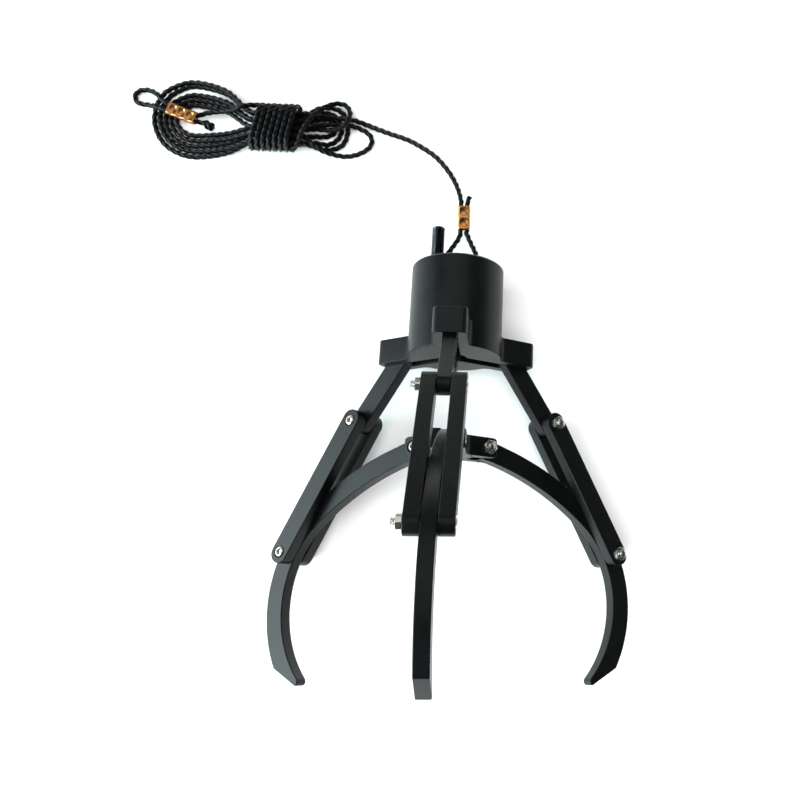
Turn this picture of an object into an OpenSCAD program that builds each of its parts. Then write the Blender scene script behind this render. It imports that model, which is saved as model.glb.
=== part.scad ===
// Rope-hung three-claw gripper, laid on a flat surface on two of its claws and the rim of its
// body, with its lifting cord beside it.
//
// The gripper is drawn on its own axis: the axis is Z, the cord leaves at the top, and the height
// Z = 0 is where the fixed arms meet the links. Each limb is drawn in the XZ plane, with X as the
// distance from the axis, and turned into place. rest_pose() then lays everything down.

/* [Body] */
// Outside diameter of the round body
body_d = 42; // [41:0.5:44]
// Height of the body, without the cord and the stud
body_h = 43.2; // [42:0.2:48]
// Height of the body's underside above the arm pivots
under_z = 25.5; // [24.5:0.5:27]
// Wall of the body beside its cavity
wall = 4; // [3:0.5:5]
// How far the lugs reach from the axis
lug_reach = 38; // [37.5:0.5:40]
// Width of a lug
lug_w = 14.7; // [13:0.1:17]
// Height of a lug
lug_h = 11.5; // [11:0.5:14]

/* [Limbs] */
// Distance of the arm pivot from the axis
arm_pivot_r = 49.5; // [48.5:0.5:50.5]
// Lean of the fixed arm away from the axis, in degrees
arm_lean = 36.7; // [35:0.1:38]
// Width of the arm, seen from its side
arm_w = 8.8; // [7.5:0.1:9.5]
// Thickness of an arm and of a claw
bar_t = 5.8; // [5.4:0.1:6.4]
// Distance of the elbow from the axis
elbow_r = 84; // [83:0.5:85]
// Height of the elbow, below the arm pivot
elbow_z = -57.5; // [-59:0.5:-56]
// Width of the link's side plates
plate_w = 9; // [8:0.1:10]
// Thickness of a side plate
plate_t = 6; // [5.6:0.1:6.8]
// Gap between a bar and the plates or ears beside it, each side
side_gap = 0.15; // [0.1:0.05:0.25]

/* [Claws] */
// Distance of the hub pivot from the axis
hub_pivot_r = 15; // [14.5:0.5:16]
// Height of the hub pivot, below the arm pivot
hub_pivot_z = -14.8; // [-16:0.2:-14]
// Depth of a claw, from its inner to its outer edge
claw_w = 8.7; // [8:0.1:9.5]
// Radius of the claw between hub and elbow
sweep_r = 132; // [118:1:140]
// Distance of the talon's centre of curvature from the axis
talon_cx = 39.5; // [38:0.5:41]
// Height of the talon's centre of curvature
talon_cz = -80.5; // [-82:0.5:-79]
// Angle at which the talon's outer edge ends and the bevel starts
bevel_from = -30; // [-34:1:-26]
// Angle at which the talon's inner edge ends in the point
point_at = -43; // [-50:1:-40]

/* [Fasteners] */
// Diameter of the pivot screws
screw_d = 3; // [2.9:0.05:3]
// Width across the flats of their nuts
nut_af = 5.5; // [5.4:0.1:5.8]
// Diameter of the screw heads
head_d = 4.7; // [4.5:0.1:5]
// Diameter of the threaded stud on the body
stud_d = 6; // [5:1:6]
// Height that the stud stands above the body
stud_out = 18.8; // [16:0.2:20]

/* [Cord] */
// Diameter of the lifting cord
cord_d = 2.6; // [2.4:0.1:2.8]
// Distance between the two cord holes in the cap
hole_pitch = 14; // [13.5:0.5:14.5]

/* [Hidden] */
$fn = 64;
limbs = 3;

// body
body_r = body_d / 2;
top_z = under_z + body_h;
chamfer = 1;
lug_round = 2.6;
lug_fillet = 3.5;
slot_h = 8.5;                       // depth of the arm slots in the underside
slot_end = lug_reach - 1;           // the slots stop one wall short of the lug's face
deck = 2.5;                         // plate between the slots and the cavity
cavity_z = under_z + slot_h + deck;
cavity_r = body_r - wall;
cap_t = 4;                          // top plate of the cap
cap_skirt = 16;                     // height of the whole cap
cap_gap = 0.05;
cap_bore_r = body_r - 2;
cap_r = cap_bore_r - cap_gap;
cap_wall = 2.4;                      // wall of the skirt
skirt_r = cap_r - cap_wall;
grub_z = top_z - 10.2;
grub_r = screw_d / 2;
stud_af = 10;                        // nut of the stud, inside the skirt
stud_nut_t = 5;
stud_nut_gap = 0.3;
stud_seat_r = skirt_r - stud_nut_gap - stud_af / 2 / cos(30);
stud_turn = 202.6;
running = 0.07;                     // radial clearance of a pivot
bore_r = screw_d / 2 + running;

// the pull rod, its guide and its stop
rod_r = 1.5;
bush_r = 4;
bush_h = 3.8;
bush_z = under_z + slot_h;
washer_r = 3.5;
washer_t = 0.5;
nut_t = 2.4;
stop_gap = 0.1;
stop_z = bush_z + bush_h + stop_gap;
rod_top = stop_z + washer_t + nut_t + 0.7;

// pivots, as [distance from the axis, height]
arm_pivot = [arm_pivot_r, 0];
elbow = [elbow_r, elbow_z];
hub_pivot = [hub_pivot_r, hub_pivot_z];
talon_c = [talon_cx, talon_cz];

// arms and link plates
bar_slot = bar_t + 2 * side_gap;
plate_n = bar_slot / 2 + plate_t / 2;        // middle of a plate, off the limb's plane
link_half = bar_slot / 2 + plate_t;
recess_d = head_d + 0.3;
recess = 2;
head_h = 2.5;
plate_over = 0.7;                            // plate beyond a round end at the pivot
tip_out = 1.9;                               // thread that stands out of a nut
link_nut_turn = 15;
hub_nut_turn = 10;
open_pivot_r = screw_d / 2 + 1.5;            // elbow hole of a claw

// hub
ear_t = 4.4;
ear_half = bar_slot / 2 + ear_t;
ear_h = 8.6;
ear_over = 4.2;                              // ear beyond the pivot
ear_round = 1.4;
ear_recess = 2.4;
ear_tip = 1.1;
hub_floor = hub_pivot_r - claw_w / 2 - 0.5;   // bottom of a claw's slot in the hub
hub_core_r = hub_floor - 0.8;
hub_low = hub_pivot_z - ear_h / 2;
hub_top = hub_pivot_z + ear_h / 2;

// claw: a long arc from the hub pivot that runs into the talon's arc
half_w = claw_w / 2;
talon_r = norm(elbow - talon_c);
chord = norm(talon_c - hub_pivot);
sweep_in = sweep_r - talon_r;                // distance between the two centres
along = (sweep_r * sweep_r - sweep_in * sweep_in + chord * chord) / (2 * chord);
aside = sqrt(sweep_r * sweep_r - along * along);
dir = (talon_c - hub_pivot) / chord;
sweep_c = hub_pivot + along * dir + aside * [dir[1], -dir[0]];
hub_a = atan2(hub_pivot[1] - sweep_c[1], hub_pivot[0] - sweep_c[0]);
join_a = atan2(talon_c[1] - sweep_c[1], talon_c[0] - sweep_c[0]);
nose_r = 2;

// rest pose: the lower claws' elbow screws and the body's rim touch the ground
screw_end = link_half + nut_t + tip_out;
elbow_drop = elbow_r / 2 + screw_end * cos(30) + screw_d / 4;
rest_tilt = atan((elbow_drop - body_r) / (top_z - chamfer - elbow_z));
rest_z = elbow_drop * cos(rest_tilt) + elbow_z * sin(rest_tilt);
point = talon_c + (talon_r - half_w + nose_r) * [cos(point_at), sin(point_at)];
low_y = -(point[0] / 2 + bar_t / 2 * cos(30)) * sin(rest_tilt) + (point[1] - nose_r) * cos(rest_tilt);
stud_x = stud_seat_r * cos(stud_turn);
stud_y = stud_seat_r * sin(stud_turn);
high_y = (stud_d / 2 - stud_y) * sin(rest_tilt) + (top_z + stud_out) * cos(rest_tilt);
rest_y = -(low_y + high_y) / 2;

// cord, in the laid-down frame: the loop through the cap, the free length, the hank
cord_r = cord_d / 2;
hole_y = 7;                                  // cord holes, off the axis
hole_r = cord_r + 0.4;
crimp_at = [1.1, 110.4, 6];
crimp_len = 11.4;
crimp_w = 6.1;
crimp_t = 3.9;
strand = 1.5;                                // cord centres inside the crimp, off its middle
crimp_r = cord_r + 0.05;
loop_route = [
    [-0.4, 110.4, 6], [-0.4, 104.2, 6], [-0.4, 103, 6], [-1.3, 99.9, 6.8], [-3.8, 95.6, 8.6],
    [-6.6, 90.7, 10.7], [-7, 86.2, 12.2], [-7, 81.7, 13.4], [-7, 79.2, 14.1], [-5.6, 77.1, 14.6],
    [0, 76.7, 14.8], [5.6, 77.1, 14.6], [7, 79.2, 14.1], [7, 81.7, 13.4], [7, 86.2, 12.2],
    [7.4, 89.4, 11.2], [7.2, 93, 9.8], [4.6, 98.4, 7.4], [2.6, 103, 6], [2.6, 104.2, 6],
    [2.6, 110.4, 6], [2.6, 116.6, 6], [2.6, 117.8, 6], [3.6, 121, 5.6]
];
free_route = [
    [-0.4, 110.4, 6], [-0.4, 116.6, 6], [-0.4, 117.8, 6], [-1.1, 121.4, 4.8], [-2.8, 126.2, 2.6],
    [-5.7, 131.5, 1.4], [-8.9, 135.8, 1.4], [-12.9, 140.1, 1.4], [-17.9, 143.7, 1.4],
    [-26.8, 148.4, 1.4], [-36.8, 151.6, 1.4], [-46.8, 155.1, 1.4]
];
hank_right = [-60.8, 150.2];
hank_left = [-139.6, 153.1];
hank_r = 16.5;
hank_h = 2.8;
winding_at = [-88.2, 151.7];
winding_len = 24;
winding_w = 21;
winding_h = 13;
end_crimp_at = [-133.5, 156.6];
end_crimp_turn = -20;
end_crimp_len = 14;

// ---------------------------------------------------------------- helpers

// Lays the upright gripper down on the ground.
module rest_pose() {
    translate([0, rest_y, rest_z]) rotate([-90 - rest_tilt, 0, 0]) children();
}

// Turns a limb drawn in the XZ plane to place 1, 2 or 3; limb 1 ends up on top.
module limb(k) {
    rotate([0, 0, -90 + 360 / limbs * (k - 1)]) children();
}

// A flat bar of thickness t from an outline of [distance, height], with its middle at offset n.
module slab(outline, t, n = 0) {
    translate([0, n + t / 2, 0]) rotate([90, 0, 0]) linear_extrude(t) polygon(outline);
}

// A round bar across the limb's plane, from offset n1 to n2.
module cross_rod(at, r, n1, n2) {
    translate([at[0], n1, at[1]]) rotate([-90, 0, 0]) cylinder(r = r, h = n2 - n1);
}

// A hexagon nut across the limb's plane, with its thread's hole.
module cross_nut(at, n1, t, turn) {
    translate([at[0], n1, at[1]]) rotate([-90, 0, 0]) difference() {
        rotate([0, 0, turn]) cylinder(d = nut_af / cos(30), h = t, $fn = 6);
        translate([0, 0, -1]) cylinder(d = screw_d, h = t + 2);
    }
}

// Points of an arc about c, from angle a1 to a2 in n steps.
function arc(c, r, a1, a2, n) = [
    for (i = [0 : n]) c + r * [cos(a1 + (a2 - a1) * i / n), sin(a1 + (a2 - a1) * i / n)]
];

// Outline of a straight bar with round ends between two points.
function bar_outline(p, q, w) =
    let (a = atan2(q[1] - p[1], q[0] - p[0]))
    concat(arc(q, w / 2, a - 90, a + 90, 16), arc(p, w / 2, a + 90, a + 270, 16));

// ---------------------------------------------------------------- body

// Outline of a lug from above: round outer corners, and a hollow fillet into the round body.
function lug_outline() =
    let (
        h = lug_w / 2,
        fc = [sqrt(pow(body_r + lug_fillet, 2) - pow(h + lug_fillet, 2)), h + lug_fillet],
        fa = atan2(-fc[1], -fc[0]),
        side = concat(
            arc([lug_reach - lug_round, h - lug_round], lug_round, 0, 90, 6),
            arc(fc, lug_fillet, -90, fa, 8)
        )
    )
    concat(
        [[body_r / 2, -body_r / 4]],
        [for (i = [len(side) - 1 : -1 : 0]) [side[i][0], -side[i][1]]],
        side,
        [[body_r / 2, body_r / 4]]
    );

module body_shell() {
    color("#1c1c1e") rest_pose() difference() {
        union() {
            translate([0, 0, under_z]) cylinder(r = body_r, h = body_h - chamfer, $fn = 128);
            translate([0, 0, top_z - chamfer])
                cylinder(r1 = body_r, r2 = body_r - chamfer, h = chamfer, $fn = 128);
            for (k = [1 : limbs])
                limb(k) translate([0, 0, under_z]) linear_extrude(lug_h) polygon(lug_outline());
        }
        // arm slots, meeting under the middle of the body
        for (k = [1 : limbs])
            limb(k) translate([0, -bar_t / 2, under_z - 1]) cube([slot_end, bar_t, slot_h + 1]);
        translate([0, 0, under_z - 1]) cylinder(r = bush_r + 1.5, h = slot_h + 1);
        // guide bush, cavity and the cap's seat
        translate([0, 0, bush_z - 1]) cylinder(r = bush_r, h = deck + 2);
        translate([0, 0, cavity_z]) cylinder(r = cavity_r, h = body_h, $fn = 96);
        translate([0, 0, top_z - cap_skirt]) cylinder(r = cap_bore_r, h = cap_skirt + 1, $fn = 96);
        // hole of the grub screw that holds the cap
        translate([0, 0, grub_z]) rotate([0, 90, 0]) cylinder(r = grub_r, h = body_d);
    }
}

module top_cap() {
    color("#1a1a1c") rest_pose() difference() {
        translate([0, 0, top_z - cap_skirt]) cylinder(r = cap_r, h = cap_skirt, $fn = 96);
        translate([0, 0, top_z - cap_skirt - 1]) cylinder(r = skirt_r, h = cap_skirt - cap_t + 1, $fn = 96);
        for (s = [-1, 1])
            translate([s * hole_pitch / 2, hole_y, top_z - cap_t - 1]) cylinder(r = hole_r, h = cap_t + 2);
        translate([stud_x, stud_y, top_z - cap_t - 1]) cylinder(r = stud_d / 2, h = cap_t + 2);
        translate([0, 0, grub_z]) rotate([0, 90, 0]) cylinder(r = grub_r, h = body_d);
    }
}

module cap_grub_screw() {
    grub_len = body_r - 0.8 - skirt_r;
    color("#2b2b2d") rest_pose() translate([skirt_r, 0, grub_z]) rotate([0, 90, 0]) difference() {
        cylinder(r = grub_r, h = grub_len);
        translate([0, 0, grub_len - 1.5]) cylinder(d = 1.7, h = 2, $fn = 6);
    }
}

module mount_stud() {
    stud_in = cap_t + 7;
    end = 0.5;
    groove = 0.6;                        // run-out of the thread above the cap
    color("#232326") rest_pose() translate([stud_x, stud_y, top_z]) {
        translate([0, 0, -stud_in]) cylinder(d = stud_d, h = stud_in);
        translate([0, 0, -1]) cylinder(r = stud_d / 2 - end, h = groove + 2);
        translate([0, 0, groove]) cylinder(d = stud_d, h = stud_out - groove - end);
        translate([0, 0, stud_out - end]) cylinder(r1 = stud_d / 2, r2 = stud_d / 2 - end, h = end);
    }
}

module stud_nut() {
    color("#232326") rest_pose() translate([stud_x, stud_y, top_z - cap_t - stud_nut_t]) difference() {
        cylinder(d = stud_af / cos(30), h = stud_nut_t, $fn = 6);
        translate([0, 0, -1]) cylinder(d = stud_d, h = stud_nut_t + 2);
    }
}

module guide_bush() {
    flange = 0.8;
    color("#b08d57") rest_pose() difference() {
        union() {
            translate([0, 0, bush_z]) cylinder(r = bush_r, h = bush_h);
            translate([0, 0, cavity_z]) cylinder(r = bush_r + 1.4, h = flange);
        }
        translate([0, 0, bush_z - 1]) cylinder(r = rod_r + running, h = bush_h + 2);
    }
}

// ---------------------------------------------------------------- arms and links

module arm(k) {
    up = [-sin(arm_lean), cos(arm_lean)];
    across = [cos(arm_lean), sin(arm_lean)] * arm_w / 2;
    slot_top = under_z + slot_h;
    near = slot_top - across[1];
    far = slot_top + across[1];
    color("#1c1c1e") rest_pose() limb(k) difference() {
        slab(concat(
            arc(arm_pivot, arm_w / 2, arm_lean - 180, arm_lean, 16),
            [arm_pivot + across + up * near / up[1], arm_pivot - across + up * far / up[1]]
        ), bar_t);
        cross_rod(arm_pivot, bore_r, -bar_t, bar_t);
    }
}

// One side plate of a link; side +1 takes the screw heads, side -1 carries the nuts.
module link_plate(k, side) {
    over = plate_over * (elbow - arm_pivot) / norm(elbow - arm_pivot);
    color("#1b1b1d") rest_pose() limb(k) difference() {
        slab(bar_outline(arm_pivot - over, elbow + over, plate_w), plate_t, side * plate_n);
        for (at = [arm_pivot, elbow]) {
            cross_rod(at, screw_d / 2, side > 0 ? 0 : -link_half - 1, side > 0 ? link_half + 1 : 0);
            if (side > 0) cross_rod(at, recess_d / 2, link_half - recess, link_half + 1);
        }
    }
}

// A socket-head screw across the limb, its head at offset seat on the side of the heads.
module pivot_screw(at, seat, end) {
    difference() {
        union() {
            cross_rod(at, screw_d / 2, -end, seat);
            cross_rod(at, head_d / 2, seat, seat + head_h);
        }
        translate([at[0], seat + head_h - 1.2, at[1]]) rotate([-90, 0, 0])
            cylinder(d = 2.5 / cos(30), h = 2, $fn = 6);
    }
}

module link_screws(k) {
    color("#b9bcc0") rest_pose() limb(k)
        for (at = [arm_pivot, elbow]) pivot_screw(at, link_half - recess, screw_end);
}

module link_nuts(k) {
    color("#c3c6c9") rest_pose() limb(k)
        for (at = [arm_pivot, elbow]) cross_nut(at, -link_half - nut_t, nut_t, link_nut_turn);
}

// ---------------------------------------------------------------- hub and claws

// Side view of an ear pair: square at the hub, small round corners at the far end.
function ear_outline() =
    let (far = hub_pivot_r + ear_over - ear_round)
    concat(
        [[hub_core_r / 2, hub_low]],
        arc([far, hub_low + ear_round], ear_round, -90, 0, 5),
        arc([far, hub_top - ear_round], ear_round, 0, 90, 5),
        [[hub_core_r / 2, hub_top]]
    );

module hub() {
    color("#1a1a1c") rest_pose() difference() {
        union() {
            for (k = [1 : limbs]) limb(k) slab(ear_outline(), 2 * ear_half);
            translate([0, 0, hub_low]) cylinder(r = hub_core_r, h = ear_h);
        }
        for (k = [1 : limbs]) limb(k) {
            translate([hub_floor, -bar_slot / 2, hub_low - 1])
                cube([hub_pivot_r, bar_slot, ear_h + 2]);
            cross_rod(hub_pivot, screw_d / 2, -ear_half - 1, ear_half + 1);
            cross_rod(hub_pivot, recess_d / 2, ear_half - ear_recess, ear_half + 1);
        }
        translate([0, 0, hub_low - 1]) cylinder(r = rod_r, h = ear_h + 2);
    }
}

module pull_rod() {
    low = hub_low - nut_t - 0.8;
    color("#8f9296") rest_pose() translate([0, 0, low]) cylinder(r = rod_r, h = rod_top - low);
}

module rod_nuts() {
    color("#c3c6c9") rest_pose()
        for (z = [hub_low - nut_t, hub_top, stop_z + washer_t]) translate([0, 0, z]) difference() {
            cylinder(d = nut_af / cos(30), h = nut_t, $fn = 6);
            translate([0, 0, -1]) cylinder(r = rod_r, h = nut_t + 2);
        }
}

module stop_washer() {
    color("#b9bcc0") rest_pose() translate([0, 0, stop_z]) difference() {
        cylinder(r = washer_r, h = washer_t);
        translate([0, 0, -1]) cylinder(r = rod_r, h = washer_t + 2);
    }
}

module hub_screws() {
    color("#b9bcc0") rest_pose() for (k = [1 : limbs])
        limb(k) pivot_screw(hub_pivot, ear_half - ear_recess, ear_half + nut_t + ear_tip);
}

module hub_nuts() {
    color("#c3c6c9") rest_pose() for (k = [1 : limbs])
        limb(k) cross_nut(hub_pivot, -ear_half - nut_t, nut_t, hub_nut_turn);
}

// Outline of a claw: round eye at the hub, outer edge, bevel, round point, inner edge.
function claw_outline() = concat(
    arc(sweep_c, sweep_r + half_w, hub_a, join_a, 20),
    arc(talon_c, talon_r + half_w, join_a, bevel_from, 24),
    arc(point, nose_r, point_at - 70, point_at - 180, 6),
    arc(talon_c, talon_r - half_w, point_at, join_a, 24),
    arc(sweep_c, sweep_r - half_w, join_a, hub_a, 20),
    arc(hub_pivot, half_w, hub_a + 190, hub_a + 350, 14)
);

module claw(k) {
    color("#1d1d20") rest_pose() limb(k) difference() {
        slab(claw_outline(), bar_t);
        cross_rod(hub_pivot, bore_r, -bar_t, bar_t);
        cross_rod(elbow, open_pivot_r, -bar_t, bar_t);
    }
}

// ---------------------------------------------------------------- cord

// A point on the smooth curve through a route's points, at step i plus the fraction f.
function route_point(r, i, f) =
    let (
        n = len(r) - 1,
        a = r[max(i - 1, 0)], b = r[i], c = r[min(i + 1, n)], d = r[min(i + 2, n)]
    )
    0.5 * (2 * b + (c - a) * f + (2 * a - 5 * b + 4 * c - d) * f * f + (3 * b - 3 * c + d - a) * f * f * f);

// The route's own points with one more point halfway between each two.
function smooth_route(r) = concat(
    [for (i = [0 : len(r) - 2]) each [r[i], route_point(r, i, 0.5)]],
    [r[len(r) - 1]]
);

// A cord of radius r swept along points, with eight sides.
module cord_tube(points, r) {
    sides = 8;
    n = len(points);
    rings = [for (i = [0 : n - 1])
        let (
            t = points[min(i + 1, n - 1)] - points[max(i - 1, 0)],
            u = cross(t, [0, 0, 1]) / norm(cross(t, [0, 0, 1])),
            v = cross(u, t) / norm(t)
        )
        for (j = [0 : sides - 1]) points[i] + r * (cos(360 * j / sides) * u + sin(360 * j / sides) * v)
    ];
    walls = [for (i = [0 : n - 2], j = [0 : sides - 1])
        [i * sides + j, i * sides + (j + 1) % sides, (i + 1) * sides + (j + 1) % sides, (i + 1) * sides + j]];
    caps = [[for (j = [sides - 1 : -1 : 0]) j], [for (j = [0 : sides - 1]) (n - 1) * sides + j]];
    polyhedron(rings, concat(walls, caps));
}

module cord_loop() {
    color("#141414") cord_tube(smooth_route(loop_route), cord_r);
}

module cord_free() {
    color("#141414") cord_tube(smooth_route(free_route), cord_r);
}

// A pressed double sleeve along Y, with its two round holes.
module crimp_sleeve(len, bored) {
    rotate([-90, 0, 0]) translate([0, 0, -len / 2]) difference() {
        union() {
            for (s = [-1, 1]) translate([s * (crimp_w - crimp_t) / 2, 0, 0])
                cylinder(d = crimp_t, h = len);
            translate([-(crimp_w - crimp_t) / 2, -crimp_t / 2, 0])
                cube([crimp_w - crimp_t, crimp_t, len]);
        }
        if (bored) for (s = [-1, 1])
            translate([s * strand, 0, -1]) cylinder(r = crimp_r, h = len + 2);
    }
}

module cord_crimp() {
    color("#c58a4a") translate(crimp_at) crimp_sleeve(crimp_len, true);
}

module end_crimp() {
    color("#c58a4a") translate([end_crimp_at[0], end_crimp_at[1], hank_h + crimp_t / 2])
        rotate([0, 0, 90 + end_crimp_turn]) crimp_sleeve(end_crimp_len, false);
}

// The coiled rest of the cord, with the windings that tie it round the middle.
module cord_hank() {
    side = (winding_w - winding_h) / 2;
    color("#161616") {
        linear_extrude(hank_h) polygon(bar_outline(hank_right, hank_left, 2 * hank_r));
        translate([winding_at[0] - winding_len / 2, winding_at[1], winding_h / 2]) rotate([90, 0, 90])
            linear_extrude(winding_len) polygon(bar_outline([-side, 0], [side, 0], winding_h));
    }
}

// ---------------------------------------------------------------- nodes

body_shell();
top_cap();
cap_grub_screw();
mount_stud();
stud_nut();
guide_bush();
arm(1);  // arm_1
arm(2);  // arm_2
arm(3);  // arm_3
hub();
pull_rod();
rod_nuts();
stop_washer();
hub_screws();
hub_nuts();
link_plate(1, 1);  // link_1_plate_a
link_plate(1, -1);  // link_1_plate_b
link_screws(1);  // link_1_screws
link_nuts(1);  // link_1_nuts
link_plate(2, 1);  // link_2_plate_a
link_plate(2, -1);  // link_2_plate_b
link_screws(2);  // link_2_screws
link_nuts(2);  // link_2_nuts
link_plate(3, 1);  // link_3_plate_a
link_plate(3, -1);  // link_3_plate_b
link_screws(3);  // link_3_screws
link_nuts(3);  // link_3_nuts
claw(1);  // claw_1
claw(2);  // claw_2
claw(3);  // claw_3
cord_loop();
cord_crimp();
cord_free();
cord_hank();
end_crimp();
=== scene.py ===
# %% [markdown]
# # A cord-hung claw gripper
#
# The gripper is a real working tool: three printed claws turn on a hub that slides along the
# gripper's axis, two-plate links join them to fixed arms, and the whole thing hangs on one cord.
# The shapes with a working size come from the CAD model. This lesson gives them edges and
# finishes, and makes what CAD leaves plain: the twisted cord, its hank, the crimps, the threads.

import math

import bmesh
import bpy
import numpy as np
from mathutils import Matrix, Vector


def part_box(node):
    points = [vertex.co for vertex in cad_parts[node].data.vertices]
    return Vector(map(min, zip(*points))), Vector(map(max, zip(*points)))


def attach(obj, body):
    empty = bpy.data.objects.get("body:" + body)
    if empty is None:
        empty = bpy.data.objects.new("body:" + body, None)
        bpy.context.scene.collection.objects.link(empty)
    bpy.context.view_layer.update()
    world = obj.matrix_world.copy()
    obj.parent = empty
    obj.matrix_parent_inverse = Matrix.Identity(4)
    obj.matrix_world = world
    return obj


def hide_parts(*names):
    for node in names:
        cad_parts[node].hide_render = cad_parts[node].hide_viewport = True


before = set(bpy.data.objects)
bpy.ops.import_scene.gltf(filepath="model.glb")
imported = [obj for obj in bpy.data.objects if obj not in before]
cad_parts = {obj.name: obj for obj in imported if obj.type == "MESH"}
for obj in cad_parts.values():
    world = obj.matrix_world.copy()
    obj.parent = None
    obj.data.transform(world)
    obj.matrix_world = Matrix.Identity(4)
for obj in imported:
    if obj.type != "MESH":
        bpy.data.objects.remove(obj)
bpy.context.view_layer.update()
MM = 0.001

# %% [markdown]
# ## The camera
#
# The tool lies on a table and the lens looks almost straight down on it, tipped by five degrees.
# A normal lens of 43 mm at 46 cm shows the near parts a little larger. The frame's middle isn't
# where the lens points, so the camera has a small shift.

# %% Camera
camera_data = bpy.data.cameras.new("camera")
camera_data.sensor_width = 36
camera_data.lens = 42.63
camera_data.shift_x = -0.2304
camera_data.shift_y = -0.0813
camera = bpy.data.objects.new("camera", camera_data)
camera.location = (0.0290, 0.0304, 0.4619)
camera.rotation_euler = [math.radians(a) for a in (3.051, -3.989, 1.120)]
bpy.context.scene.collection.objects.link(camera)
bpy.context.scene.camera = camera
print("camera at", np.round(camera.location, 3), "m, lens", camera_data.lens, "mm")

# %% [markdown]
# ## Small helpers
#
# A colour is written as the sRGB hex value that a maker would note down, and turned to linear
# light once. A node helper adds one shader node with its settings and links. A mesh helper puts
# whole arrays of corners and faces into a new object that rides on a CAD body.


# %% Helpers
def linear(code):
    """An sRGB hex colour as linear red, green, blue and alpha: each channel below 0.04045 is
    divided by 12.92, and any other is ((c + 0.055) / 1.055) to the power 2.4."""
    c = np.array([int(code[i : i + 2], 16) for i in (1, 3, 5)]) / 255
    return (*np.where(c <= 0.04045, c / 12.92, ((c + 0.055) / 1.055) ** 2.4), 1.0)


def add(tree, kind, settings=None, **inputs):
    """One new node of a kind. Settings are its properties; inputs are socket values, or the
    output sockets that feed them. An underscore in a socket's name stands for a space, and a
    name such as _0 is the number of a socket."""
    made = tree.nodes.new(kind)
    for key, value in (settings or {}).items():
        setattr(made, key, value)
    for key, value in inputs.items():
        socket = made.inputs[int(key[1:]) if key[0] == "_" else key.replace("_", " ")]
        if isinstance(value, bpy.types.NodeSocket):
            tree.links.new(value, socket)
        else:
            socket.default_value = value
    return made


def grid_faces(rows, columns):
    """Quads between neighbouring rows of a grid whose columns close into a ring."""
    i = np.arange(rows - 1)[:, None] * columns
    j, k = np.arange(columns), (np.arange(columns) + 1) % columns
    return np.stack([i + j, i + k, i + columns + k, i + columns + j], -1).reshape(-1, 4)


def skin(grids, ring=False):
    """Corners and faces of closed surfaces, each from a grid of rings in millimetres. The last
    ring joins the first, or else a fan of triangles closes each end round its middle."""
    corners, faces, start = [], [], 0
    for grid in grids:
        rows, columns = grid.shape[:2]
        j, k = np.arange(columns), (np.arange(columns) + 1) % columns
        last = (rows - 1) * columns
        points, quads = grid.reshape(-1, 3), grid_faces(rows, columns)
        if ring:
            quads = np.concatenate([quads, np.stack([last + j, last + k, k, j], 1)])
            fans = []
        else:
            points = np.concatenate([points, [grid[0].mean(0), grid[-1].mean(0)]])
            low, high = np.full(columns, rows * columns), np.full(columns, rows * columns + 1)
            fans = np.concatenate(
                [np.stack([k, j, low], 1), np.stack([last + j, last + k, high], 1)]
            )
        faces += (quads + start).tolist() + (np.asarray(fans, int) + start).tolist()
        corners.append(points)
        start += len(points)
    return np.concatenate(corners) * MM, faces


def mesh_piece(name, surface, body, material, replaces, smooth_angle=35):
    """A new object from corners and faces. It rides on a body and takes a CAD node's place, and
    edges sharper than an angle stay crisp."""
    points, faces = surface
    mesh = bpy.data.meshes.new(name)
    mesh.from_pydata(points.tolist(), [], faces)
    mesh.update()
    mesh.shade_smooth()
    mesh.set_sharp_from_angle(angle=math.radians(smooth_angle))
    made = bpy.data.objects.new(name, mesh)
    bpy.context.scene.collection.objects.link(made)
    mesh.materials.append(material)
    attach(made, body)
    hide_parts(replaces)
    return made


# %% [markdown]
# ## Where the gripper lies
#
# The CAD model draws the gripper upright on its own axis, with each limb in an upright plane, and
# then lays it on the ground. The same two moves put every new screw, nut and thread in its place:
# a limb's plane turns by a third of a circle, and the whole tips back by 104.9 degrees.

# %% From the gripper's axis to the ground
TILT = math.radians(14.8993)
REST_Y, REST_Z = 17.5199, 37.701


def laid(points):
    """Points on the upright gripper's axes, in millimetres, as they lie on the ground: y and
    height change places, and both turn by the tilt."""
    x, y, z = np.moveaxis(np.asarray(points, float), -1, 0)
    sine, cosine = math.sin(TILT), math.cos(TILT)
    return np.stack([x, -y * sine + z * cosine + REST_Y, -y * cosine - z * sine + REST_Z], -1)


def on_limb(k, points):
    """Points of limb k, as distance from the axis, offset off the limb's plane and height."""
    turn = math.radians(120 * (k - 1) - 90)
    x, y, z = np.moveaxis(np.asarray(points, float), -1, 0)
    sine, cosine = math.sin(turn), math.cos(turn)
    return laid(np.stack([x * cosine - y * sine, x * sine + y * cosine, z], -1))


print("the gripper's axis points along", np.round(laid([0, 0, 1]) - laid([0, 0, 0]), 3))


# %% [markdown]
# ## The finishes
#
# The body, arms, links and claws are 3-D printed in black PLA. A printed wall is a stack of
# layers, so it shines in fine lines, and a flat top shows the slanted passes of the nozzle. Both
# come from one map, whose first direction runs across the lines, so the pattern turns with each
# face. The colour is a near-black that lightens a touch where fingers and tools have rubbed it.


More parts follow.
